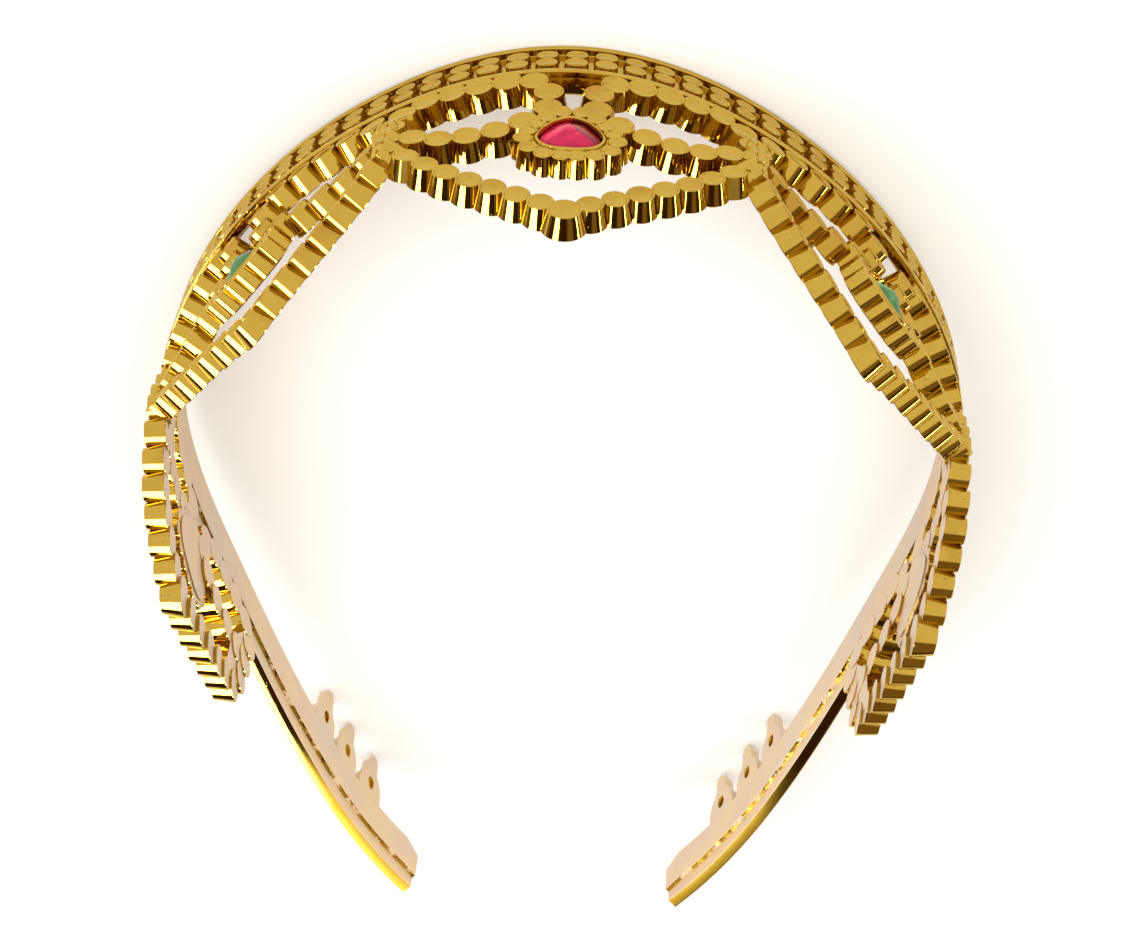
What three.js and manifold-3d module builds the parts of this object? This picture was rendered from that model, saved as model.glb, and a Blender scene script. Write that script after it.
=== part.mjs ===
// A child's tiara: one gold-coloured plastic moulding with five stones set in its crest.
// Sizes are in millimetres. +Z is up, the front faces -Y, and the tiara stands as it rests on a table:
// on the front edge of its band and on the tips of its comb teeth.
import * as THREE from 'three';
import { mergeVertices } from 'three/addons/utils/BufferGeometryUtils.js';
import Module from 'manifold-3d';

const wasm = await Module();
wasm.setup();

// Band
const halfLength = 181; // outer face, from the middle of the front to the end of an arm
const bandHeight = 11;
const bandThickness = 2.5;
const bandSteps = 48; // straight lengths that the bent band is made of
// How sharply the band bends, in degrees over its whole half length, at shares of that half length
const bandBends = [
  { share: 0, bend: 238 },
  { share: 1 / 6, bend: 129 },
  { share: 2 / 6, bend: 168 },
  { share: 3 / 6, bend: 264 },
  { share: 4 / 6, bend: 0 },
  { share: 5 / 6, bend: 52 },
  { share: 1, bend: 175 },
];
const railHeight = 1.1; // rails along the lower and upper edge of the band
const channelDepth = 0.8; // channel between the rails
const innerStep = 0.7; // the inner face steps back near the upper edge
const innerStepHeight = 3.2;
const armCorner = 2.6; // cut corner at the lower end of each arm

// Crest
const motifPitch = 55.4; // along the band
const rearHalf = 25; // a rear motif, from its inner end to its tip
const rearOuterHalf = 21.5; // and from its tip to its free end
const rearFlare = 1.5; // how far the free end leans away from the band
const crestRiseFront = 35.4; // from the band's upper edge to the tip of the front motif
const crestRiseRear = 26.6; // the same for the two rear motifs
const studDepth = 3.3;
const studRadius = 2.35;
const peakRadius = 2.9; // the stud at a motif's tip
const studSides = 8;
const studOverlap = 0.6; // how far the lowest studs sink into the band's upper edge
const crestPitch = 4.3; // studs along the crest line, at most
const rowPitch = 4.5; // studs in the other rows, at most

// Rows of studs in half a motif: across is a share of that half's length, lift a share of the rise
const crestLine = [
  { across: 0, lift: 1 },
  { across: 0.3, lift: 0.85 },
  { across: 0.6, lift: 0.7 },
  { across: 0.8, lift: 0.56 },
  { across: 0.97, lift: 0.41 },
];
const lowerRow = [
  { across: 0.98, lift: 0.3 },
  { across: 0.97, lift: 0.14 },
  { across: 0.91, lift: 0.04 },
  { across: 0.8, lift: 0 },
  { across: 0.3, lift: 0 },
  { across: 0.235, lift: 0.025 },
  { across: 0.155, lift: 0.1 },
  { across: 0.127, lift: 0.23 },
];
const middleRow = [
  { across: 0.84, lift: 0.32 },
  { across: 0.69, lift: 0.37 },
  { across: 0.5, lift: 0.38 },
  { across: 0.35, lift: 0.36 },
  { across: 0.25, lift: 0.32 },
];

// Solid plate where the rows run together at each end of a motif
const endPlate = [
  { across: 0.97, lift: 0.41 },
  { across: 0.87, lift: 0.5 },
  { across: 0.84, lift: 0.32 },
  { across: 0.91, lift: 0.04 },
  { across: 0.98, lift: 0.2 },
];

// The same in the outer half of a rear motif, where the rows stay apart up to their free ends
const outerCrestLine = [
  { across: 0, lift: 1 },
  { across: 0.3, lift: 0.93 },
  { across: 0.6, lift: 0.83 },
  { across: 0.95, lift: 0.64 },
];
const outerMiddleRow = [
  { across: 1, lift: 0.47 },
  { across: 0.84, lift: 0.36 },
  { across: 0.69, lift: 0.37 },
  { across: 0.5, lift: 0.38 },
  { across: 0.35, lift: 0.36 },
  { across: 0.25, lift: 0.32 },
];
const outerPlate = [
  { across: 0.95, lift: 0.64 },
  { across: 0.75, lift: 0.75 },
  { across: 0.72, lift: 0.37 },
  { across: 0.91, lift: 0.04 },
  { across: 0.98, lift: 0.3 },
  { across: 1, lift: 0.47 },
];

// Settings and stones, rounded triangles that point down
const stoneRadius = 4.5;
const stoneCorner = 0.1; // share that the corners stand out and the sides draw in
const stoneStretch = 1.1; // width against height
const stoneSides = 12;
const stoneDepth = 2.6;
const stoneGirdle = 1.1; // height of the stone's straight edge
const tableShare = 0.4; // size of the flat table against the stone
const seatClearance = 0.3;
const seatFloor = 1.5; // plastic left behind the stone
const bezelWidth = 1.1;
const bezelRise = 0.5; // bezel above the scallops
const scallopWidth = 1.2; // scalloped rim outside the bezel
const scallopCount = 16;
const scallopPoints = 2; // outline points for each scallop
const scallopCut = 0.45;
const settingLift = 0.46; // share of the rise

// Comb teeth, measured along the band from the middle of the front
const firstTooth = 154;
const toothPitch = 7;
const teethPerArm = 3;
const toothWidth = 5.8;
const toothTipWidth = 2.4;
const toothTaper = 0.9; // width at the shoulder against the root
const toothLength = 11.4;
const toothShoulder = 4.5; // length over which the tooth keeps most of its width
const toothThickness = 1.7;
const toothRoot = 1.2; // how far the tooth reaches up into the band
const eyeletWidth = 1.3;
const eyeletHeight = 3.2;
const eyeletSteps = 5;
const eyeletDrop = 3.4; // from the band's lower edge to the middle of the eyelet

const weldTolerance = 1e-4;
const weldLength = 0.3; // outline points closer than this are one
const cutMargin = 1;

// The band's plan: points along its outer face with the direction that it runs in there
function bendAt(share) {
  const last = bandBends.length - 1;
  const index = Math.min(last - 1, bandBends.findLastIndex((row) => row.share <= share));
  const from = bandBends[index];
  const to = bandBends[index + 1];
  const part = (share - from.share) / (to.share - from.share);
  return THREE.MathUtils.degToRad(THREE.MathUtils.lerp(from.bend, to.bend, part));
}

function planSamples() {
  const steps = Math.ceil(halfLength);
  const length = halfLength / steps;
  const samples = [{ x: 0, y: 0, heading: 0 }];
  for (let i = 0; i < steps; i += 1) {
    const { x, y, heading } = samples[i];
    const turn = bendAt((i + 0.5) / steps) / steps;
    const middle = heading + turn / 2;
    samples.push({
      x: x + Math.cos(middle) * length,
      y: y + Math.sin(middle) * length,
      heading: heading + turn,
    });
  }
  return samples;
}

const plan = planSamples();

function planAt(along) {
  const side = along < 0 ? -1 : 1;
  const place = (Math.abs(along) / halfLength) * (plan.length - 1);
  const index = Math.min(plan.length - 2, Math.floor(place));
  const from = plan[index];
  const to = plan[index + 1];
  const part = place - index;
  return {
    x: side * THREE.MathUtils.lerp(from.x, to.x, part),
    y: THREE.MathUtils.lerp(from.y, to.y, part),
    heading: side * THREE.MathUtils.lerp(from.heading, to.heading, part),
  };
}

// A point of the band: along its outer face, up from its lower edge, and out from the face
function bandPoint(along, up, out) {
  const { x, y, heading } = planAt(along);
  return new THREE.Vector3(x + Math.sin(heading) * out, y - Math.cos(heading) * out, up);
}

// Solids
function toSolid(geometry) {
  const bare = geometry.index ? geometry.toNonIndexed() : geometry.clone();
  bare.deleteAttribute('normal');
  bare.deleteAttribute('uv');
  const merged = mergeVertices(bare, weldTolerance);
  return new wasm.Manifold(new wasm.Mesh({
    numProp: 3,
    vertProperties: new Float32Array(merged.attributes.position.array),
    triVerts: new Uint32Array(merged.index.array),
  }));
}

function toGeometry(solid) {
  const mesh = solid.getMesh();
  const geometry = new THREE.BufferGeometry();
  geometry.setAttribute('position', new THREE.BufferAttribute(mesh.vertProperties, mesh.numProp));
  geometry.setIndex(new THREE.BufferAttribute(mesh.triVerts, 1));
  return geometry;
}

function joinAll(solids) {
  let joined = solids;
  while (joined.length > 1) {
    const pairs = [];
    for (let i = 0; i < joined.length; i += 2) {
      pairs.push(i + 1 < joined.length ? joined[i].add(joined[i + 1]) : joined[i]);
    }
    joined = pairs;
  }
  return joined[0];
}

function shapeOf(points) {
  return new THREE.Shape(points.map(([x, y]) => new THREE.Vector2(x, y)));
}

// Puts a solid that is drawn with its face towards +Z onto the tiara, facing outwards at that heading
// with its upper side leaning inwards
function facing(geometry, point, heading, lean = 0) {
  geometry.rotateX(-lean);
  const across = new THREE.Vector3(Math.cos(heading), Math.sin(heading), 0);
  const out = new THREE.Vector3(Math.sin(heading), -Math.cos(heading), 0);
  const up = new THREE.Vector3(0, 0, 1);
  const matrix = new THREE.Matrix4().makeBasis(across, up, out).setPosition(point);
  return geometry.applyMatrix4(matrix);
}

// Band
function bandSolid() {
  const back = -bandThickness;
  const section = shapeOf([
    [back, 0],
    [0, 0],
    [0, railHeight],
    [-channelDepth, railHeight],
    [-channelDepth, bandHeight - railHeight],
    [0, bandHeight - railHeight],
    [0, bandHeight],
    [back + innerStep, bandHeight],
    [back + innerStep, bandHeight - innerStepHeight],
    [back, bandHeight - innerStepHeight],
  ]);
  const geometry = new THREE.ExtrudeGeometry(section, {
    depth: 2 * halfLength,
    steps: bandSteps,
    bevelEnabled: false,
  });
  const position = geometry.attributes.position;
  for (let i = 0; i < position.count; i += 1) {
    const along = halfLength - position.getZ(i);
    const point = bandPoint(along, position.getY(i), position.getX(i));
    position.setXYZ(i, point.x, point.y, point.z);
  }
  return toSolid(geometry);
}

function armCornerCut(side) {
  const size = armCorner * Math.SQRT2;
  const cut = new THREE.BoxGeometry(size, size, bandThickness + 2 * cutMargin);
  cut.rotateZ(Math.PI / 4);
  const end = bandPoint(side * halfLength, 0, -bandThickness / 2);
  return toSolid(facing(cut, end, planAt(side * halfLength).heading));
}

// Motifs: each crest line runs straight from one end of its motif to the other, behind the bowed band.
// flat is how far a motif's crest goes from the band's curve towards that straight line, and outer is
// the side of its free end, if it has one.
const frontHalf = motifPitch / 2;
const rearPlace = 3 * frontHalf + rearHalf;
const motifs = [
  { place: -rearPlace, half: rearHalf, outer: -1, flat: 0.15, stone: 'stone_rear_left', color: 0xd0235a },
  { place: -motifPitch, half: frontHalf, outer: 0, flat: 0.8, stone: 'stone_side_left', color: 0x2f8a3c },
  { place: 0, half: frontHalf, outer: 0, flat: 1, stone: 'stone_front', color: 0xd0235a },
  { place: motifPitch, half: frontHalf, outer: 0, flat: 0.8, stone: 'stone_side_right', color: 0x2f8a3c },
  { place: rearPlace, half: rearHalf, outer: 1, flat: 0.15, stone: 'stone_rear_right', color: 0xd0235a },
];
const innerRows = { crest: crestLine, middle: middleRow, corners: endPlate };
const outerRows = { crest: outerCrestLine, middle: outerMiddleRow, corners: outerPlate };

const rowSeat = studRadius - studOverlap; // lowest stud centres above the band

function riseAt(along) {
  return THREE.MathUtils.lerp(crestRiseFront, crestRiseRear, Math.abs(along) / rearPlace);
}

function halfOn(motif, side) {
  return side === motif.outer ? rearOuterHalf : motif.half;
}

function rowsOn(motif, side) {
  return side === motif.outer ? outerRows : innerRows;
}

// A spot of a motif in its own flat drawing: millimetres across from its tip and up from the band
function flatSpot(motif, { across, lift }, side) {
  const x = side * across * halfOn(motif, side);
  return new THREE.Vector2(x, rowSeat + lift * (riseAt(motif.place + x) - rowSeat));
}

// Where a spot of that flat drawing lies on the tiara, with the direction that it faces there
function motifSpot(motif, x, y) {
  const before = halfOn(motif, -1);
  const after = halfOn(motif, 1);
  const start = planAt(motif.place - before);
  const end = planAt(motif.place + after);
  const onBand = planAt(motif.place + x);
  const side = Math.sign(x);
  const toEnd = Math.abs(x) / halfOn(motif, side);
  const crest = riseAt(motif.place + x) * THREE.MathUtils.lerp(1, rowsOn(motif, side).crest.at(-1).lift, toEnd);
  const level = THREE.MathUtils.clamp(y / crest, 0, 1);
  const share = (x + before) / (before + after);
  const bowX = THREE.MathUtils.lerp(start.x, end.x, share) - onBand.x;
  const bowY = THREE.MathUtils.lerp(start.y, end.y, share) - onBand.y;
  const lineHeading = (start.heading + end.heading) / 2;
  const flare = side !== 0 && side === motif.outer ? rearFlare * toEnd ** 2 * level : 0;
  return {
    x: onBand.x + bowX * motif.flat * level + Math.sin(onBand.heading) * flare,
    y: onBand.y + bowY * motif.flat * level - Math.cos(onBand.heading) * flare,
    heading: THREE.MathUtils.lerp(onBand.heading, lineHeading, level),
    up: bandHeight + y,
  };
}

// Centres of the studs of one row, evenly spaced along it
function rowSpots(motif, row, side, pitch) {
  const corners = row.map((corner) => flatSpot(motif, corner, side));
  const path = new THREE.CurvePath();
  for (let i = 1; i < corners.length; i += 1) {
    path.add(new THREE.LineCurve(corners[i - 1], corners[i]));
  }
  const gaps = Math.ceil(path.getLength() / pitch);
  const spots = [];
  for (let i = 0; i <= gaps; i += 1) {
    spots.push(path.getPointAt(i / gaps));
  }
  return spots;
}

function flatPlate(points) {
  const geometry = new THREE.ExtrudeGeometry(shapeOf(points), { depth: studDepth, bevelEnabled: false });
  return toSolid(geometry.translate(0, 0, -studDepth));
}

function flatStud(spot, radius, turn) {
  const points = [];
  for (let i = 0; i < studSides; i += 1) {
    const angle = turn + (2 * Math.PI * i) / studSides;
    points.push([spot.x + radius * Math.cos(angle), spot.y + radius * Math.sin(angle)]);
  }
  return flatPlate(points);
}

// Web that closes the notches between two studs that stand on the band
function flatWeb(from, to) {
  const foot = -studOverlap;
  const corners = [[from.x, foot], [to.x, foot], [to.x, to.y], [from.x, from.y]];
  return flatPlate(from.x < to.x ? corners : corners.reverse());
}

// Outlines of the faces of a flat plate, outer ones running anticlockwise and holes clockwise
function faceOutlines(plateSolid) {
  const { attributes, index } = toGeometry(plateSolid);
  const edges = new Map();
  for (let i = 0; i < index.count; i += 3) {
    const corners = [index.getX(i), index.getX(i + 1), index.getX(i + 2)];
    if (corners.every((corner) => attributes.position.getZ(corner) > -weldTolerance)) {
      corners.forEach((corner, j) => {
        const following = corners[(j + 1) % 3];
        if (!edges.delete(`${following} ${corner}`)) {
          edges.set(`${corner} ${following}`, [corner, following]);
        }
      });
    }
  }
  const next = new Map(edges.values());
  const outlines = [];
  while (next.size > 0) {
    const outline = [];
    let corner = next.keys().next().value;
    while (next.has(corner)) {
      outline.push(new THREE.Vector2().fromBufferAttribute(attributes.position, corner));
      const following = next.get(corner);
      next.delete(corner);
      corner = following;
    }
    outlines.push(outline);
  }
  return outlines;
}

// Drops the points of an outline that lie all but on their neighbour
function tidyOutline(outline) {
  const kept = [];
  for (const point of outline) {
    if (point.distanceTo(kept.at(-1) ?? outline.at(-1)) > weldLength) {
      kept.push(point);
    }
  }
  return kept;
}

// The rows of a motif, joined flat and then bent onto the tiara
function filigree(motif) {
  const flat = [flatStud(flatSpot(motif, crestLine[0], 1), peakRadius, 0)];
  for (const side of [-1, 1]) {
    const { crest, middle, corners } = rowsOn(motif, side);
    const end = corners.map((corner) => flatSpot(motif, corner, side));
    flat.push(flatPlate(end.map(({ x, y }) => [x, y])));
    for (const [row, pitch] of [[crest, crestPitch], [lowerRow, rowPitch], [middle, rowPitch]]) {
      const spots = rowSpots(motif, row, side, pitch);
      spots.forEach((spot, i) => {
        const next = spots[Math.min(i + 1, spots.length - 1)];
        const last = spots[Math.max(i - 1, 0)];
        flat.push(flatStud(spot, studRadius, next.clone().sub(last).angle()));
        if (spot.x !== last.x && Math.max(spot.y, last.y) < rowSeat + studOverlap) {
          flat.push(flatWeb(last, spot));
        }
      });
    }
  }
  const outlines = faceOutlines(joinAll(flat)).map(tidyOutline);
  const holes = outlines.filter((outline) => THREE.ShapeUtils.isClockWise(outline));
  const face = new THREE.Shape(outlines.find((outline) => !THREE.ShapeUtils.isClockWise(outline)));
  face.holes = holes.filter((hole) => hole.length > 2).map((hole) => new THREE.Path(hole));
  const bent = new THREE.ExtrudeGeometry(face, { depth: studDepth, bevelEnabled: false });
  bent.translate(0, 0, -studDepth);
  const position = bent.attributes.position;
  for (let i = 0; i < position.count; i += 1) {
    const out = position.getZ(i);
    const { x, y, heading, up } = motifSpot(motif, position.getX(i), position.getY(i));
    position.setXYZ(i, x + Math.sin(heading) * out, y - Math.cos(heading) * out, up);
  }
  return toSolid(bent);
}

// Outline of a rounded triangle that points down
function trillion(radius, count, cutAt) {
  const points = [];
  for (let i = 0; i < count; i += 1) {
    const angle = (2 * Math.PI * i) / count - Math.PI / 2;
    const reach = radius * (1 + stoneCorner * Math.cos(3 * (angle + Math.PI / 2))) - cutAt(i);
    points.push([stoneStretch * reach * Math.cos(angle), reach * Math.sin(angle)]);
  }
  return shapeOf(points);
}

function plate(shape, depth) {
  return new THREE.ExtrudeGeometry(shape, { depth, bevelEnabled: false });
}

const uncut = () => 0;
const seatRadius = stoneRadius + seatClearance;
const bezelRadius = seatRadius + bezelWidth;

function settingPlace(motif) {
  const spot = flatSpot(motif, { across: 0, lift: settingLift }, 1);
  const { x, y, heading, up } = motifSpot(motif, spot.x, spot.y);
  const foot = planAt(motif.place);
  const lean = Math.atan2(Math.hypot(x - foot.x, y - foot.y), spot.y);
  return [new THREE.Vector3(x, y, up), heading, lean];
}

function settingParts(motif) {
  const place = (geometry) => toSolid(facing(geometry, ...settingPlace(motif)));
  const rimCount = scallopCount * scallopPoints;
  const scallop = (i) => (i % scallopPoints === 0 ? scallopCut : 0);
  const rim = plate(trillion(bezelRadius + scallopWidth, rimCount, scallop), studDepth);
  rim.translate(0, 0, -studDepth);
  const bezel = plate(trillion(bezelRadius, stoneSides, uncut), studDepth + bezelRise);
  bezel.translate(0, 0, -studDepth);
  const seat = plate(trillion(seatRadius, stoneSides, uncut), studDepth + bezelRise);
  seat.translate(0, 0, seatFloor - studDepth);
  return { body: place(rim).add(place(bezel)), seat: place(seat) };
}

// Stone: a straight girdle under a pyramid of facets round a flat table
function stoneSolid(motif) {
  const crown = new THREE.ExtrudeGeometry(trillion(stoneRadius, stoneSides, uncut), {
    depth: stoneDepth,
    steps: 2,
    bevelEnabled: false,
  });
  const position = crown.attributes.position;
  for (let i = 0; i < position.count; i += 1) {
    const level = Math.round((2 * position.getZ(i)) / stoneDepth);
    const share = level === 2 ? tableShare : 1;
    const height = [0, stoneGirdle, stoneDepth][level];
    position.setXYZ(i, position.getX(i) * share, position.getY(i) * share, height);
  }
  crown.translate(0, 0, seatFloor + seatClearance - studDepth);
  return toSolid(facing(crown, ...settingPlace(motif)));
}

// Comb tooth: a flat tab with an eyelet, standing down from the inside of the band's lower edge
function toothSolid(along) {
  const half = toothWidth / 2;
  const tip = toothTipWidth / 2;
  const outline = shapeOf([
    [-half, toothRoot],
    [-half * toothTaper, -toothShoulder],
    [-tip, -toothLength + tip],
    [-tip / 2, -toothLength],
    [tip / 2, -toothLength],
    [tip, -toothLength + tip],
    [half * toothTaper, -toothShoulder],
    [half, toothRoot],
  ]);
  const eyelet = new THREE.Path();
  eyelet.absellipse(0, -eyeletDrop, eyeletWidth / 2, eyeletHeight / 2, 0, 2 * Math.PI);
  outline.holes.push(eyelet);
  const tab = new THREE.ExtrudeGeometry(outline, {
    depth: toothThickness,
    bevelEnabled: false,
    curveSegments: eyeletSteps,
  });
  const foot = bandPoint(along, 0, -bandThickness);
  return toSolid(facing(tab, foot, planAt(along).heading));
}

// Moulding
function mouldingSolid() {
  const parts = [bandSolid()];
  const seats = [];
  for (const motif of motifs) {
    const { body, seat } = settingParts(motif);
    parts.push(filigree(motif), body);
    seats.push(seat);
  }
  for (const side of [-1, 1]) {
    for (let i = 0; i < teethPerArm; i += 1) {
      parts.push(toothSolid(side * (firstTooth + i * toothPitch)));
    }
  }
  const cuts = [...seats, armCornerCut(-1), armCornerCut(1)];
  return cuts.reduce((solid, cut) => solid.subtract(cut), joinAll(parts));
}

// How far the arms are lifted when the front edge and the first teeth stand on one level
function restAngle(geometry) {
  const position = geometry.attributes.position;
  let angle = 0;
  for (let i = 0; i < position.count; i += 1) {
    if (position.getZ(i) < 0) {
      angle = Math.max(angle, Math.atan2(-position.getZ(i), position.getY(i)));
    }
  }
  return angle;
}

const gold = new THREE.MeshStandardMaterial({ color: 0xc9962e, roughness: 0.18, metalness: 1 });
const tiara = new THREE.Group();
const mouldingGeometry = toGeometry(mouldingSolid());
const moulding = new THREE.Mesh(mouldingGeometry, gold);
moulding.name = 'moulding';
tiara.add(moulding);

for (const motif of motifs) {
  const material = new THREE.MeshStandardMaterial({ color: motif.color, roughness: 0.08, metalness: 0.1 });
  const stone = new THREE.Mesh(toGeometry(stoneSolid(motif)), material);
  stone.name = motif.stone;
  tiara.add(stone);
}

// Stand it on the table with the origin under the middle of its box
const standing = new THREE.Group();
tiara.rotation.x = restAngle(mouldingGeometry);
standing.add(tiara);
standing.updateMatrixWorld(true);
const box = new THREE.Box3().setFromObject(standing, true);
tiara.position.set(-(box.min.x + box.max.x) / 2, -(box.min.y + box.max.y) / 2, -box.min.z);

export default standing;
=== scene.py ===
import random
from math import ceil, cos, hypot, pi, radians, sin

import bpy
from mathutils import Matrix, Vector


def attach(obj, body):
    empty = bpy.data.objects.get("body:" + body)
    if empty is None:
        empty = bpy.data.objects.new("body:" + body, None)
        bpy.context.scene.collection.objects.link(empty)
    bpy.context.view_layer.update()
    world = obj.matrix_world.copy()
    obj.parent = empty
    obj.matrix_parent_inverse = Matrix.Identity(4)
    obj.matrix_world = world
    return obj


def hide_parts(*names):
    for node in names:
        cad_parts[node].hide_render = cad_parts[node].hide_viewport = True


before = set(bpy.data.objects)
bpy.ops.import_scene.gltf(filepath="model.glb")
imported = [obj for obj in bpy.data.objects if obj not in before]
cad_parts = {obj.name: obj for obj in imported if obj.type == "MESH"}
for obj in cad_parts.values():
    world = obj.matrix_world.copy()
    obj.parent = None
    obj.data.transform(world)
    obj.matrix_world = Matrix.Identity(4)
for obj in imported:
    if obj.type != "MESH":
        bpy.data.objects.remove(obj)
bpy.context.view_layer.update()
mm = 0.001
random.seed(11)
print("frame loaded")

# lengths are in millimetres, and places run along the band's outer face from the middle of the front
band = {
    "halfLength": 181.0,
    "height": 11.0,
    "thickness": 2.5,
    "bends": [238, 129, 168, 264, 0, 52, 175],  # degrees over the half length, evenly spaced
    "samples": 724,
    "rail": 1.1,
    "channel": 1.2,
    "innerStep": 0.7,
    "innerStepHeight": 3.2,
    "armCorner": 2.6,
    "steps": 380,
}
# how the tiara rests: turned in radians so that the front and the teeth touch, and centred in its box
stand = {"pitch": 0.0994240, "shift": -67.5397}


def bendAt(share):
    bends = band["bends"]
    place = share * (len(bends) - 1)
    i = min(int(place), len(bends) - 2)
    return radians(bends[i] + (bends[i + 1] - bends[i]) * (place - i))


def makePlan():
    steps = band["samples"]
    length = band["halfLength"] / steps
    x, y, heading = 0.0, 0.0, 0.0
    samples = [(x, y, heading)]
    for i in range(steps):
        turn = bendAt((i + 0.5) / steps) / steps
        x += cos(heading + turn / 2) * length
        y += sin(heading + turn / 2) * length
        heading += turn
        samples.append((x, y, heading))
    return samples


plan = makePlan()


def planAt(along):
    side = -1 if along < 0 else 1
    place = min(abs(along) / band["halfLength"], 1) * (len(plan) - 1)
    i = min(int(place), len(plan) - 2)
    x, y, heading = (a + (b - a) * (place - i) for a, b in zip(plan[i], plan[i + 1]))
    return side * x, y, side * heading


def facing(heading):
    # directions along the band and out of its face
    return Vector((cos(heading), sin(heading), 0)), Vector((sin(heading), -cos(heading), 0))


def toWorld(point):
    x, y, z = point
    c, s = cos(stand["pitch"]), sin(stand["pitch"])
    return Vector((x, y * c - z * s + stand["shift"], y * s + z * c)) * mm


def bandPoint(along, up, out):
    x, y, heading = planAt(along)
    return Vector((x + sin(heading) * out, y - cos(heading) * out, up))


camera = {
    "tilt": 25.02,  # degrees from straight above
    "yaw": -2.38,
    "roll": 5.16,
    "distance": 575.6,
    "aim": 66.84,  # the spot it looks at, behind the front
    "lens": 120,
    "sensor": 36,
    "shift": 0.00626,
}


def addCamera():
    tilt, yaw, roll = (radians(camera[k]) for k in ("tilt", "yaw", "roll"))
    right, front, up = Vector((1, 0, 0)), Vector((0, -1, 0)), Vector((0, 0, 1))
    right, front = right * cos(yaw) + front * sin(yaw), front * cos(yaw) - right * sin(yaw)
    top = front * cos(tilt) - up * sin(tilt)
    view = front * sin(tilt) + up * cos(tilt)
    right, top = right * cos(roll) + top * sin(roll), top * cos(roll) - right * sin(roll)
    right, top, view = (Vector((-v.x, v.y, v.z)) for v in (right, top, view))
    pitch = Matrix.Rotation(stand["pitch"], 3, "X")
    turn = Matrix((pitch @ right, pitch @ top, pitch @ view)).transposed()
    data = bpy.data.cameras.new("camera")
    data.lens = camera["lens"]
    data.sensor_width = camera["sensor"]
    data.shift_x = camera["shift"]
    data.clip_start = 0.01
    obj = bpy.data.objects.new("camera", data)
    at = toWorld(Vector((0, camera["aim"], 0)) + view * camera["distance"])
    obj.matrix_world = Matrix.Translation(at) @ turn.to_4x4()
    bpy.context.scene.collection.objects.link(obj)
    bpy.context.scene.camera = obj


addCamera()
print("camera placed")


def addPiece(name, verts, faces, slots, faceSlots, sharp=30):
    mesh = bpy.data.meshes.new(name)
    mesh.from_pydata([toWorld(v) for v in verts], [], faces)
    for material in slots:
        mesh.materials.append(material)
    for polygon, slot in zip(mesh.polygons, faceSlots):
        polygon.material_index = slot
        polygon.use_smooth = len(polygon.vertices) < 5  # end faces stay flat
    mesh.update()
    mesh.validate()
    mesh.set_sharp_from_angle(angle=radians(sharp))
    obj = bpy.data.objects.new(name, mesh)
    bpy.context.scene.collection.objects.link(obj)
    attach(obj, "root")
    return obj


def joinRings(faces, first, rings, count, turned=False):
    # quads between rings of count corners, numbered from first
    for r in range(rings - 1):
        a, b = first + r * count, first + (r + 1) * count
        for i in range(count):
            k = (i + 1) % count
            faces.append((a + i, b + i, b + k, a + k) if turned else (a + i, a + k, b + k, b + i))


def roundCorners(corners, steps=4):
    # an outline with each corner replaced by a short arc: (corner, slot, radius)
    points = []
    count = len(corners)
    for i, (corner, slot, radius) in enumerate(corners):
        here = Vector(corner)
        back = (Vector(corners[i - 1][0]) - here).normalized()
        ahead = (Vector(corners[(i + 1) % count][0]) - here).normalized()
        for j in range(steps + 1):
            t = j / steps
            a, b = here + back * radius, here + ahead * radius
            points.append((a * (1 - t) ** 2 + here * 2 * t * (1 - t) + b * t * t, slot))
    return points


names = ("platedGold", "rawPlastic", "platingBleed", "pinkStone", "greenStone")
gold, cream, bleed, pink, green = (bpy.data.materials.new(name) for name in names)


def addSweep(name, section, half, steps, slots):
    # an outline of ((out, up), slot) carried along the band from -half to half
    top = band["height"]
    verts, faces = [], []
    for i in range(steps + 1):
        along = half * (2 * i / steps - 1)
        lift = max(0.0, band["armCorner"] - (band["halfLength"] - abs(along)))
        for (out, up), _ in section:
            verts.append(bandPoint(along, lift + up * (top - lift) / top, out))
    count = len(section)
    joinRings(faces, 0, steps + 1, count)
    faces.append(tuple(range(count - 1, -1, -1)))
    faces.append(tuple(range(steps * count, (steps + 1) * count)))
    return addPiece(name, verts, faces, slots, [slot for _, slot in section] * steps + [0, 0])


def addBand():
    b = band
    back, top, floor = -b["thickness"], b["height"], -b["channel"]
    step, stepFoot = back + b["innerStep"], top - b["innerStepHeight"]
    section = roundCorners([
        ((back, 0), 0, 0.2),
        ((0, 0), 0, 0.3),
        ((0, b["rail"]), 0, 0.3),
        ((floor, b["rail"]), 0, 0.15),
        ((floor, top - b["rail"]), 0, 0.15),
        ((0, top - b["rail"]), 0, 0.3),
        ((0, top), 0, 0.3),
        ((step, top), 1, 0.12),
        ((step, stepFoot), 2, 0.1),
        ((back, stepFoot), 1, 0.1),
    ])
    return addSweep("bandBody", section, b["halfLength"], b["steps"], [gold, cream, bleed])


# the band is thicker inside between the two columns of the middle motif
shelf = {
    "half": 4.2,
    "steps": 8,
    # an outline in (out, up from the band's top edge)
    "section": [(-1.2, -0.5), (-1.2, 0.1), (-2.4, 0.24), (-3.5, 0.1), (-3.75, -0.15), (-3.4, -1.1), (-2.3, -1.6)],
}


def addShelf():
    section = [((out, band["height"] + up), 0) for out, up in shelf["section"]]
    return addSweep("shelf", section, shelf["half"], shelf["steps"], [gold])


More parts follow.
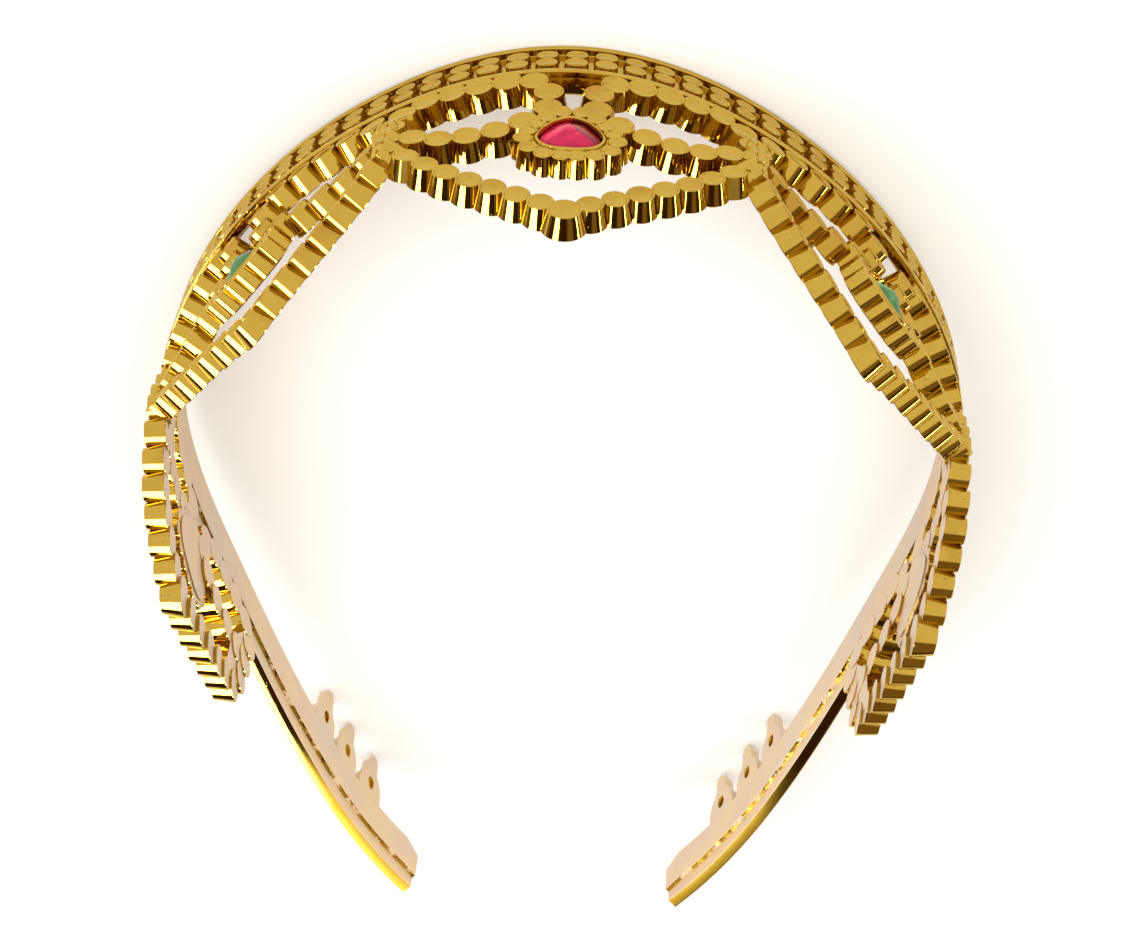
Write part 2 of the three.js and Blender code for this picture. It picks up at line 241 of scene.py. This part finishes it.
def drum(verts, faces, slots, spot, across, up, out, profile, sides=40, backSlot=1):
    # a round stud, with a profile of (radius, depth) from its face to its back
    start = len(verts)
    for radius, depth in profile:
        for i in range(sides):
            a = 2 * pi * i / sides
            verts.append(spot + across * (radius * cos(a)) + up * (radius * sin(a)) - out * depth)
    joinRings(faces, start, len(profile), sides, True)
    faces.append(tuple(start + i for i in range(sides)))
    last = start + (len(profile) - 1) * sides
    faces.append(tuple(last + i for i in range(sides - 1, -1, -1)))
    slots += [0] * ((len(profile) - 1) * sides + 1) + [backSlot]


def studProfile(face, base, depth):
    # sunk face inside a rounded rim, straight tapered wall, cut foot
    slope = (base - face) / depth
    wall = [(face + slope * d, d) for d in (0.1, 0.14, 0.25, depth - 0.2, depth - 0.1)]
    rim = [(face - 0.44, 0.2), (face - 0.4, 0.18), (face - 0.28, 0.03), (face - 0.16, 0), (face - 0.05, 0.03)]
    return rim + wall + [(base - 0.1, depth)]


channelStuds = {
    "pitch": 4.3,
    "face": 1.6,
    "base": 1.78,
    "vary": 0.04,
    "rows": (3.85, 7.15),
    "depth": 1.25,
    "endGap": 3,
    "sides": 24,
}


def addChannelStuds():
    c = channelStuds
    verts, faces, slots = [], [], []
    count = int((band["halfLength"] - c["endGap"]) / c["pitch"])
    for i in range(-count, count + 1):
        for row in c["rows"]:
            along = i * c["pitch"]
            across, out = facing(planAt(along)[2])
            grow = random.uniform(1 - c["vary"], 1 + c["vary"])
            profile = studProfile(c["face"] * grow, c["base"] * grow, c["depth"])
            at, up = bandPoint(along, row, 0), Vector((0, 0, 1))
            drum(verts, faces, slots, at, across, up, out, profile, c["sides"], 0)
    return addPiece("channelStuds", verts, faces, [gold], slots)


crest = {
    "half": 27.7,  # half a motif along the band
    "rearHalf": 25.0,
    "rearOuterHalf": 21.5,  # from a rear motif's tip to its free end
    "rearFlare": 1.5,
    "riseFront": 35.4,
    "riseRear": 26.6,
    "depth": 3.3,
    "face": 2.1,
    "base": 2.6,
    "lineFace": 1.92,  # the studs of the crest line taper more
    "lineBase": 2.56,
    "tipFace": 2.35,
    "tipBase": 3.2,
    "seat": 1.75,  # lowest stud centres above the band
    "plateInset": 0.9,
    "crestPitch": 4.3,
    "rowPitch": 4.5,
    "vary": 0.03,  # how unevenly the studs came out of the mould
}
# corners of the chains and of the end plate in half a motif: (share of the half, share of the rise)
rows = {
    "crest": [(0, 1), (0.3, 0.85), (0.6, 0.7), (0.8, 0.56), (0.97, 0.41)],
    "lower": [
        (0.98, 0.3), (0.97, 0.14), (0.91, 0.04), (0.8, 0),
        (0.3, 0), (0.2, 0.02), (0.13, 0.08), (0.127, 0.23),
    ],
    "middle": [(0.84, 0.32), (0.69, 0.37), (0.5, 0.38), (0.35, 0.36), (0.25, 0.32)],
    "plate": [(0.97, 0.41), (0.87, 0.5), (0.84, 0.32), (0.91, 0.04), (0.98, 0.2)],
}
# the same in the free half of a rear motif
freeRows = {
    "crest": [(0, 1), (0.3, 0.93), (0.6, 0.83), (0.95, 0.64)],
    "lower": rows["lower"],
    "middle": [(1, 0.47), (0.84, 0.36), (0.69, 0.37), (0.5, 0.38), (0.35, 0.36), (0.25, 0.32)],
    "plate": [(0.95, 0.64), (0.75, 0.75), (0.72, 0.37), (0.91, 0.04), (0.98, 0.3), (1, 0.47)],
}
sidePlace = 2 * crest["half"]
rearPlace = 3 * crest["half"] + crest["rearHalf"]
# outer is the side of a free end, flat how far a motif is straightened between its ends,
# and lean how far its faces turn with that
rearMotif = {"half": crest["rearHalf"], "flat": 0.15, "lean": 0, "stone": pink, "slot": "pink_stone"}
sideMotif = {
    "half": crest["half"], "outer": None, "flat": 0.8, "lean": -0.4, "stone": green, "slot": "green_stone",
}
frontMotif = {"half": crest["half"], "outer": None, "flat": 1, "lean": 1, "stone": pink, "slot": "pink_stone"}
motifs = [
    {**rearMotif, "name": "RearLeft", "place": -rearPlace, "outer": -1, "node": "stone_rear_left"},
    {**sideMotif, "name": "SideLeft", "place": -sidePlace, "node": "stone_side_left"},
    {**frontMotif, "name": "Front", "place": 0, "node": "stone_front"},
    {**sideMotif, "name": "SideRight", "place": sidePlace, "node": "stone_side_right"},
    {**rearMotif, "name": "RearRight", "place": rearPlace, "outer": 1, "node": "stone_rear_right"},
]


def lerp(a, b, t):
    return a + (b - a) * t


def riseAt(along):
    return lerp(crest["riseFront"], crest["riseRear"], abs(along) / rearPlace)


def halfOn(motif, side):
    return crest["rearOuterHalf"] if side == motif["outer"] else motif["half"]


def rowsOn(motif, side):
    return freeRows if side == motif["outer"] else rows


def flatSpot(motif, across, lift, side):
    x = side * across * halfOn(motif, side)
    return Vector((x, crest["seat"] + lift * (riseAt(motif["place"] + x) - crest["seat"])))


def motifSpot(motif, x, y):
    # place of a spot of the flat drawing, with its directions across, up the leaning plate, and out
    side = (x > 0) - (x < 0)
    before, after, toEnd = halfOn(motif, -1), halfOn(motif, 1), abs(x) / halfOn(motif, side)
    start, end, on = (planAt(motif["place"] + along) for along in (-before, after, x))
    endLift = rowsOn(motif, side)["crest"][-1][1]
    top = riseAt(motif["place"] + x) * lerp(1, endLift, toEnd)
    level = min(max(y / top, 0), 1)
    share = (x + before) / (before + after)
    foot = Vector((on[0], on[1], 0))
    straight = Vector((lerp(start[0], end[0], share), lerp(start[1], end[1], share), 0))
    bow = (straight - foot) * motif["flat"]
    if side == motif["outer"]:
        bow += facing(on[2])[1] * (crest["rearFlare"] * toEnd ** 2)
    across = facing(lerp(on[2], (start[2] + end[2]) / 2, level))[0]
    up = Vector((0, 0, top)) + bow * motif["lean"]
    up = (up - across * up.dot(across)).normalized()
    return foot + bow * level + Vector((0, 0, band["height"] + y)), across, up, across.cross(up)


def rowSpots(motif, row, side, pitch):
    # evenly spaced stud centres along a row
    corners = [flatSpot(motif, across, lift, side) for across, lift in rowsOn(motif, side)[row]]
    lengths = [(corners[i + 1] - corners[i]).length for i in range(len(corners) - 1)]
    total = sum(lengths)
    gaps = ceil(total / pitch)
    spots = []
    for i in range(gaps + 1):
        want, j = total * i / gaps, 0
        while j < len(lengths) - 1 and want > lengths[j]:
            want -= lengths[j]
            j += 1
        spots.append(corners[j].lerp(corners[j + 1], want / lengths[j]))
    return spots


def addEndPlate(motif, side, verts, faces, slots):
    # solid plate where the rows run together
    corners = rowsOn(motif, side)["plate"]
    start, count = len(verts), len(corners)
    for depth in (crest["plateInset"], crest["depth"]):
        for across, lift in corners:
            spot = flatSpot(motif, across, lift, side)
            at, _, _, out = motifSpot(motif, spot.x, spot.y)
            verts.append(at - out * depth)
    order = list(range(count)) if side > 0 else list(range(count - 1, -1, -1))
    faces.append(tuple(start + i for i in order))
    faces.append(tuple(start + count + i for i in reversed(order)))
    for i in range(count):
        a, b = order[i], order[(i + 1) % count]
        faces.append((start + a, start + count + a, start + count + b, start + b))
    slots += [0, 1] + [0] * count


def addCrest(motif):
    c = crest
    verts, faces, slots = [], [], []
    studs = [(flatSpot(motif, 0, 1, 1), c["tipFace"], c["tipBase"])]
    for side in (-1, 1):
        line = rowSpots(motif, "crest", side, c["crestPitch"])[1:]
        studs += [(spot, c["lineFace"], c["lineBase"]) for spot in line]
        for row in ("lower", "middle"):
            studs += [(spot, c["face"], c["base"]) for spot in rowSpots(motif, row, side, c["rowPitch"])]
        addEndPlate(motif, side, verts, faces, slots)
    for spot, face, base in studs:
        at, across, up, out = motifSpot(motif, spot.x, spot.y)
        depth = c["depth"] + random.uniform(0, c["vary"])
        profile = studProfile(face * random.uniform(1 - c["vary"], 1 + c["vary"]), base, depth)
        drum(verts, faces, slots, at, across, up, out, profile)
    return addPiece("crest" + motif["name"], verts, faces, [gold, cream], slots)


setting = {
    "lift": 0.46,
    "corner": 0.1,
    "stretch": 1.1,
    "bezel": 4.4,
    "rim": 5.8,
    "lobes": 16,
    "lobe": 1.35,
    "lobeBase": 1.55,
    "lobeRise": 0.22,
    "lobeSides": 28,
    "sides": 96,
}
stone = {
    "radius": 3.75,
    "girdle": 1.1,
    "edge": 0.85,  # height of the straight side, under a narrow chamfer
    "brow": 0.96,  # size above the chamfer
    "crown": 2.6,
    "bed": 1.3,  # depth of the stone's back below the face
    "table": 0.16,
    "steps": 14,
    "facetShading": (1.0, 0.66, 0.36),  # painted light and shade: how lit each of the three facets is painted, standing in for reflections
    # painted light and shade of the table and of the straight side
    "tableShading": 0.9,
    "sideShading": 0.3,
    "browShading": 0.7,  # painted shade of the chamfer against the facet above it
}


def trillion(radius, angle):
    reach = radius * (1 + setting["corner"] * cos(3 * (angle + pi / 2)))
    return setting["stretch"] * reach * cos(angle), reach * sin(angle)


def settingSpot(motif):
    spot = flatSpot(motif, 0, setting["lift"], 1)
    return motifSpot(motif, spot.x, spot.y)


def addSetting(motif):
    s = setting
    at, across, up, out = settingSpot(motif)
    verts, faces, slots = [], [], []
    for i in range(s["lobes"]):
        x, y = trillion(s["rim"], 2 * pi * (i + 0.5) / s["lobes"] - pi / 2)
        spot = at + across * x + up * y + out * s["lobeRise"]
        profile = studProfile(s["lobe"], s["lobeBase"], crest["depth"])
        drum(verts, faces, slots, spot, across, up, out, profile, s["lobeSides"])
    # back plate, then the raised ring round the stone and its seat
    sides, inner, bezel = s["sides"], stone["radius"], s["bezel"]
    profile = [
        (s["rim"], 3.31), (s["rim"], 0.1),
        (bezel + 0.12, 0.1), (bezel, 0.0), (bezel - 0.1, -0.3), (bezel - 0.24, -0.42), (bezel - 0.4, -0.4),
        (inner + 0.1, -0.1), (inner + 0.06, 0.5), (inner + 0.06, 2.3),
    ]
    start = len(verts)
    for radius, depth in profile:
        for i in range(sides):
            x, y = trillion(radius, 2 * pi * i / sides)
            verts.append(at + across * x + up * y - out * depth)
    joinRings(faces, start, len(profile), sides)
    faces.append(tuple(start + i for i in range(sides - 1, -1, -1)))
    last = start + (len(profile) - 1) * sides
    faces.append(tuple(last + i for i in range(sides)))
    slots += [0] * ((len(profile) - 1) * sides) + [1, 0]
    return addPiece("setting" + motif["name"], verts, faces, [gold, cream], slots)


def addStone(motif):
    # straight girdle, then three gently curved facets up to a small table
    s = stone
    at, across, up, out = settingSpot(motif)
    verts, faces, facetShading, table = [], [], [], []

    def place(radius, angle, height):
        x, y = trillion(radius, angle)
        verts.append(at + across * x + up * y + out * (height - s["bed"]))
        return len(verts) - 1

    for k, tone in enumerate(s["facetShading"]):
        first = 2 * pi * k / 3 - pi / 2
        angles = [first + 2 * pi / 3 * i / s["steps"] for i in range(s["steps"] + 1)]
        back = [place(s["radius"], a, 0) for a in angles]
        edge = [place(s["radius"], a, s["edge"]) for a in angles]
        brow = [place(s["radius"] * s["brow"], a, s["girdle"]) for a in angles]
        top = [place(s["radius"] * s["table"], a, s["crown"]) for a in angles]
        table += top[:-1]
        # each band of each facet gets its own painted light or shade
        bands = ((back, edge, s["sideShading"]), (edge, brow, tone * s["browShading"]), (brow, top, tone))
        for low, high, shade in bands:
            for i in range(s["steps"]):
                faces.append((low[i], low[i + 1], high[i + 1], high[i]))
                facetShading.append(shade)
    faces.append(tuple(table))
    facetShading.append(s["tableShading"])
    obj = addPiece("stone" + motif["name"], verts, faces, [motif["stone"]], [0] * len(faces), 40)
    # the tone attribute carries the painted light and shade of each facet
    attribute = obj.data.attributes.new("tone", "FLOAT", "FACE")
    for entry, value in zip(attribute.data, facetShading):
        entry.value = value
    return obj


tooth = {
    "first": 154,
    "pitch": 7,
    "count": 3,
    "width": 5.8,
    "tip": 2.4,
    "length": 11.4,
    "shoulder": 4.5,
    "thickness": 1.7,
    "bevel": 0.12,
    "root": 1.2,
    "eyeletWidth": 1.3,
    "eyeletHeight": 3.2,
    "eyeletDrop": 3.4,
    "eyeletSides": 20,
}


def toothLoops():
    # outline of a tooth and of its eyelet
    t = tooth
    half, tip = t["width"] / 2, t["tip"] / 2
    right = [
        ((half, t["root"]), 0.2), ((half * 0.98, -1.5), 1), ((half * 0.86, -t["shoulder"]), 1.4),
        ((tip * 0.95, -7.2), 1.2), ((tip * 0.9, -t["length"] + 1.2), 0.5), ((0.45, -t["length"]), 0.5),
    ]
    left = [((-x, y), r) for (x, y), r in reversed(right)]
    outline = [point for point, _ in roundCorners([(corner, 0, r) for corner, r in right + left])]
    angles = [2 * pi * i / t["eyeletSides"] for i in range(t["eyeletSides"])]
    wide, high = t["eyeletWidth"] / 2, t["eyeletHeight"] / 2
    return outline, [(wide * cos(a), -t["eyeletDrop"] + high * sin(a)) for a in angles]


def addTooth(name, along):
    t = tooth
    curve = bpy.data.curves.new(name, "CURVE")
    curve.dimensions = "2D"
    curve.fill_mode = "BOTH"
    curve.extrude = (t["thickness"] / 2 - t["bevel"]) * mm
    curve.bevel_depth = t["bevel"] * mm
    curve.bevel_resolution = 2
    curve.offset = -t["bevel"] * mm
    for loop in toothLoops():
        spline = curve.splines.new("POLY")
        spline.points.add(len(loop) - 1)
        spline.use_cyclic_u = True
        for point, (x, y) in zip(spline.points, loop):
            point.co = (x * mm, y * mm, 0, 1)
    holder = bpy.data.objects.new(name + "Curve", curve)
    mesh = bpy.data.meshes.new_from_object(holder)
    bpy.data.objects.remove(holder)
    mesh.materials.clear()
    for material in (cream, gold):
        mesh.materials.append(material)
    for polygon in mesh.polygons:
        polygon.use_smooth = True
        # the wall of the eyelet took the plating
        x, y = polygon.center.x / mm, polygon.center.y / mm + t["eyeletDrop"]
        inEyelet = hypot(x / t["eyeletWidth"], y / t["eyeletHeight"]) < 0.56
        polygon.material_index = 1 if inEyelet else 0
    foot = bandPoint(along, 0, -band["thickness"])
    across, out = facing(planAt(along)[2])
    pitch = Matrix.Rotation(stand["pitch"], 3, "X")
    turn = Matrix((pitch @ across, pitch @ Vector((0, 0, 1)), pitch @ out)).transposed().to_4x4()
    mesh.transform(Matrix.Translation(toWorld(foot + out * (t["thickness"] / 2))) @ turn)
    mesh.set_sharp_from_angle(angle=radians(40))
    obj = bpy.data.objects.new(name, mesh)
    bpy.context.scene.collection.objects.link(obj)
    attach(obj, "root")
    return obj


pieces = [addBand(), addChannelStuds(), addShelf()]
pieces += [addCrest(m) for m in motifs]
pieces += [addSetting(m) for m in motifs]
stones = [addStone(m) for m in motifs]
for side, sideName in ((-1, "Left"), (1, "Right")):
    for i in range(tooth["count"]):
        pieces.append(addTooth(f"tooth{sideName}{i + 1}", side * (tooth["first"] + i * tooth["pitch"])))
for piece in pieces:
    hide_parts("moulding")
for piece, motif in zip(stones, motifs):
    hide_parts(motif["node"])
print("moulding and stones built")


class Nodes:
    # short way to add nodes and join them up
    def __init__(self, tree):
        self.tree = tree

    def add(self, kind, **settings):
        node = self.tree.nodes.new("ShaderNode" + kind)
        for key, value in settings.items():
            setattr(node, key, value)
        return node

    def link(self, source, target):
        self.tree.links.new(source, target)

    def feed(self, socket, value):
        if isinstance(value, (int, float, tuple)):
            socket.default_value = value
        else:
            self.link(value, socket)

    def math(self, operation, a, b=0.0):
        node = self.add("Math", operation=operation)
        self.feed(node.inputs[0], a)
        self.feed(node.inputs[1], b)
        return node.outputs[0]

    def between(self, value, low, high, toLow=0.0, toHigh=1.0):
        node = self.add("MapRange")
        for i, entry in enumerate((value, low, high, toLow, toHigh)):
            self.feed(node.inputs[i], entry)
        return node.outputs[0]

    def mix(self, factor, a, b):
        node = self.add("Mix", data_type="RGBA")
        self.feed(node.inputs[0], factor)
        self.feed(node.inputs[6], a)
        self.feed(node.inputs[7], b)
        return node.outputs[2]

    def noise(self, place, scale, detail=3.0, rough=0.5, warp=0.0):
        node = self.add("TexNoise")
        self.link(place, node.inputs["Vector"])
        self.feed(node.inputs["Scale"], scale)
        self.feed(node.inputs["Detail"], detail)
        self.feed(node.inputs["Roughness"], rough)
        self.feed(node.inputs["Distortion"], warp)
        return node.outputs[0]

    def place(self):
        return self.add("TexCoord").outputs["Object"]


def newGroup(name, inputs, outputs):
    group = bpy.data.node_groups.new(name, "ShaderNodeTree")
    for label, value in inputs.items():
        socket = group.interface.new_socket(label, in_out="INPUT", socket_type="NodeSocketFloat")
        socket.default_value = value
    for label in outputs:
        group.interface.new_socket(label, in_out="OUTPUT", socket_type="NodeSocketFloat")
    given = group.nodes.new("NodeGroupInput").outputs
    result = group.nodes.new("NodeGroupOutput").inputs
    return group, Nodes(group), given, result


def platingGroup():
    # shallow flow marks, pits and tarnish of the plated surface
    sockets = {"Pit Size": 0.07, "Pit Share": 0.25, "Ripple": 0.5}
    group, n, given, result = newGroup("platingMarks", sockets, ("Height", "Pits", "Tarnish"))
    place = n.place()
    cells = n.add("TexVoronoi")
    n.link(place, cells.inputs["Vector"])
    cells.inputs["Scale"].default_value = 900
    size = given["Pit Size"]
    dot = n.between(cells.outputs["Distance"], size, n.math("MULTIPLY", size, 2.2), 1.0, 0.0)
    tone = n.add("SeparateColor")
    n.link(cells.outputs["Color"], tone.inputs[0])
    pits = n.math("MULTIPLY", dot, n.math("LESS_THAN", tone.outputs[0], given["Pit Share"]))
    ripple = n.math("MULTIPLY", n.noise(place, 420, 2.0), given["Ripple"])
    n.link(n.math("SUBTRACT", ripple, pits), result["Height"])
    n.link(pits, result["Pits"])
    n.link(n.between(n.noise(place, 95, 4.0, 0.6), 0.5, 0.72), result["Tarnish"])
    return group


def plasticGroup():
    # cloudy patches, flow lines and fine grain of the bare moulded plastic
    sockets = {"Patch Scale": 120.0, "Grain Scale": 2600.0}
    group, n, given, result = newGroup("plasticClouds", sockets, ("Patches", "Cool", "Height"))
    place = n.place()
    patch = n.noise(place, given["Patch Scale"], 4.0, warp=0.6)
    grain = n.noise(place, given["Grain Scale"], 2.0)
    n.link(n.between(patch, 0.42, 0.62), result["Patches"])
    n.link(n.between(n.noise(place, 70, 3.0), 0.5, 0.66), result["Cool"])
    n.link(n.math("ADD", grain, n.math("MULTIPLY", patch, 2.0)), result["Height"])
    return group


plating, clouds = platingGroup(), plasticGroup()


def useGroup(n, group, values):
    node = n.add("Group")
    node.node_tree = group
    for label, value in values.items():
        node.inputs[label].default_value = value
    return node


def bump(n, height, strength, distance):
    node = n.add("Bump")
    node.inputs["Strength"].default_value = strength
    node.inputs["Distance"].default_value = distance
    n.link(height, node.inputs["Height"])
    return node.outputs[0]


def start(material):
    material.use_nodes = True
    return Nodes(material.node_tree), material.node_tree.nodes["Principled BSDF"].inputs


goldLook = {
    "bright": (0.47, 0.295, 0.034, 1),
    "deep": (0.40, 0.215, 0.018, 1),
    "pit": (0.16, 0.07, 0.01, 1),
    "edge": (0.93, 0.80, 0.42, 1),
    "rough": 0.05,
    "coat": 0.4,
    "coatRough": 0.04,
    "tipRough": 0.34,
    "tipFrom": 0.040,  # the plating dulls towards the arm tips from here, in metres
    "tipTo": 0.052,
}
creamLook = {
    "warm": (0.68, 0.49, 0.275, 1),
    "pink": (0.64, 0.45, 0.31, 1),
    "cool": (0.56, 0.49, 0.40, 1),
    "rough": 0.42,
    "bleedRough": 0.14,
}
stoneLook = {
    "rough": 0.09,
    "refraction": 1.55,
    "specular": 0.25,
    # deep and light colour, the shaded and lit ends of the painted facet shading, and hazy colour
    "pink": ((0.16, 0.002, 0.012, 1), (0.66, 0.012, 0.085, 1), (0.8, 0.2, 0.3, 1)),
    "green": ((0.015, 0.022, 0.035, 1), (0.065, 0.30, 0.04, 1), (0.4, 0.5, 0.45, 1)),
}


def goldColor(n, marks):
    tarnished = n.mix(marks.outputs["Tarnish"], goldLook["bright"], goldLook["deep"])
    return n.mix(n.math("MULTIPLY", marks.outputs["Pits"], 0.8), tarnished, goldLook["pit"])


def creamColor(n, soft):
    warm = n.mix(soft.outputs["Patches"], creamLook["warm"], creamLook["pink"])
    return n.mix(n.math("MULTIPLY", soft.outputs["Cool"], 0.6), warm, creamLook["cool"])


def finishGold():
    n, inputs = start(gold)
    marks = useGroup(n, plating, {"Pit Size": 0.07, "Pit Share": 0.22, "Ripple": 0.5})
    n.link(goldColor(n, marks), inputs["Base Color"])
    inputs["Metallic"].default_value = 1
    inputs["Specular Tint"].default_value = goldLook["edge"]
    inputs["Coat Weight"].default_value = goldLook["coat"]
    inputs["Coat Roughness"].default_value = goldLook["coatRough"]
    axes = n.add("SeparateXYZ")
    n.link(n.place(), axes.inputs[0])
    tip = n.between(axes.outputs[1], goldLook["tipFrom"], goldLook["tipTo"], 0.0, goldLook["tipRough"])
    rough = n.math("ADD", n.math("MULTIPLY", marks.outputs["Tarnish"], 0.05), goldLook["rough"])
    n.link(n.math("ADD", rough, tip), inputs["Roughness"])
    n.link(bump(n, marks.outputs["Height"], 0.35, 0.00004), inputs["Normal"])


def finishCream():
    n, inputs = start(cream)
    soft = useGroup(n, clouds, {"Patch Scale": 130.0, "Grain Scale": 2600.0})
    n.link(creamColor(n, soft), inputs["Base Color"])
    inputs["Roughness"].default_value = creamLook["rough"]
    n.link(bump(n, soft.outputs["Height"], 0.3, 0.00006), inputs["Normal"])


def finishBleed():
    # plating that has run onto the bare plastic in an uneven, broken line
    n, inputs = start(bleed)
    marks = useGroup(n, plating, {"Pit Size": 0.14, "Pit Share": 0.6, "Ripple": 2.5})
    soft = useGroup(n, clouds, {"Patch Scale": 200.0, "Grain Scale": 2600.0})
    cover = n.between(n.noise(n.place(), 260, 4.0, 0.7), 0.40, 0.46)
    n.link(n.mix(cover, creamColor(n, soft), goldColor(n, marks)), inputs["Base Color"])
    n.link(cover, inputs["Metallic"])
    n.link(n.between(cover, 0.0, 1.0, creamLook["rough"], creamLook["bleedRough"]), inputs["Roughness"])
    n.link(bump(n, marks.outputs["Height"], 0.8, 0.00012), inputs["Normal"])


def finishStone(material, colors):
    deep, light, haze = colors
    n, inputs = start(material)
    # the tone attribute is painted light and shade per facet, standing in for reflections in the stone
    tone = n.add("Attribute", attribute_name="tone")
    cloud = n.noise(n.place(), 500, 3.0)
    shade = n.math("ADD", tone.outputs["Fac"], n.between(cloud, 0.3, 0.7, -0.12, 0.12))
    colored = n.mix(n.between(shade, 0.3, 1.0), deep, light)
    n.link(n.mix(n.between(cloud, 0.62, 0.75, 0.0, 0.15), colored, haze), inputs["Base Color"])
    inputs["Roughness"].default_value = stoneLook["rough"]
    inputs["IOR"].default_value = stoneLook["refraction"]
    inputs["Specular IOR Level"].default_value = stoneLook["specular"]
    n.link(bump(n, n.noise(n.place(), 900, 2.0), 0.15, 0.00003), inputs["Normal"])


finishGold()
finishCream()
finishBleed()
finishStone(pink, stoneLook["pink"])
finishStone(green, stoneLook["green"])
print("materials made")

studio = {
    "floor": 2.4,
    "floorColor": (0.90, 0.90, 0.89, 1),
    "floorTint": (0.86, 0.86, 0.85, 1),
    "floorRough": 0.7,
    "pale": (1.3, 1.27, 1.2, 1),  # the open front of the studio
    "dark": (0.055, 0.028, 0.014, 1),  # the unlit space behind the table
    "dim": (0.34, 0.235, 0.12, 1),  # warm walls in that space
    # where those walls are: degrees from straight up towards +X, and 1 for wall or 0 for dark
    "walls": [(-130, 1), (-98, 1), (-88, 0), (-54, 0), (-46, 1), (-24, 1), (-15, 0), (72, 0), (82, 1), (130, 1)],
    # name, place, size, watts, and whether it shows only in reflections or only lights dull surfaces
    "lights": [
        ("softbox", (0.55, 0.39, 0.74), (0.66, 0.70), 22.0, True),
        ("sideStrip", (-0.92, 0.44, 0.26), (0.7, 0.12), 4.0, True),
        ("topFill", (0.1, -0.1, 1.3), (1.6, 1.6), 17.0, False),
    ],
}


def addFloor():
    half = studio["floor"] / 2
    mesh = bpy.data.meshes.new("floor")
    corners = [(-half, -half, 0), (half, -half, 0), (half, half, 0), (-half, half, 0)]
    mesh.from_pydata(corners, [], [(0, 1, 2, 3)])
    material = bpy.data.materials.new("floorCard")
    n, inputs = start(material)
    n.link(n.mix(n.noise(n.place(), 14), studio["floorColor"], studio["floorTint"]), inputs["Base Color"])
    inputs["Roughness"].default_value = studio["floorRough"]
    mesh.materials.append(material)
    obj = bpy.data.objects.new("floor", mesh)
    bpy.context.scene.collection.objects.link(obj)


def addLight(name, at, size, power, glossy):
    data = bpy.data.lights.new(name, "AREA")
    data.shape = "RECTANGLE"
    data.size, data.size_y = size
    data.energy = power
    obj = bpy.data.objects.new(name, data)
    obj.location = at
    obj.rotation_euler = (-Vector(at)).to_track_quat("-Z", "Y").to_euler()
    bpy.context.scene.collection.objects.link(obj)
    obj.visible_glossy = glossy
    obj.visible_diffuse = not glossy


def addWorld():
    world = bpy.data.worlds.new("studio")
    world.use_nodes = True
    n = Nodes(world.node_tree)
    axes = n.add("SeparateXYZ")
    n.link(n.add("TexCoord").outputs["Generated"], axes.inputs[0])
    front = n.between(axes.outputs[1], 0.14, 0.0)
    turn = n.math("ARCTAN2", axes.outputs[0], axes.outputs[2])
    ramp = n.add("ValToRGB")
    n.link(n.math("ADD", n.math("DIVIDE", turn, 2 * pi), 0.5), ramp.inputs[0])
    stops = ramp.color_ramp.elements
    while len(stops) > 1:
        stops.remove(stops[-1])
    for i, (angle, wall) in enumerate(studio["walls"]):
        place = angle / 360 + 0.5
        stop = stops[0] if i == 0 else stops.new(place)
        stop.position = place
        stop.color = (wall, wall, wall, 1)
    room = n.mix(ramp.outputs[0], studio["dark"], studio["dim"])
    background = world.node_tree.nodes["Background"]
    n.link(n.mix(front, room, studio["pale"]), background.inputs["Color"])
    bpy.context.scene.world = world


addFloor()
addWorld()
for light in studio["lights"]:
    addLight(*light)
bpy.context.scene.view_settings.view_transform = "Standard"
print("studio lit")
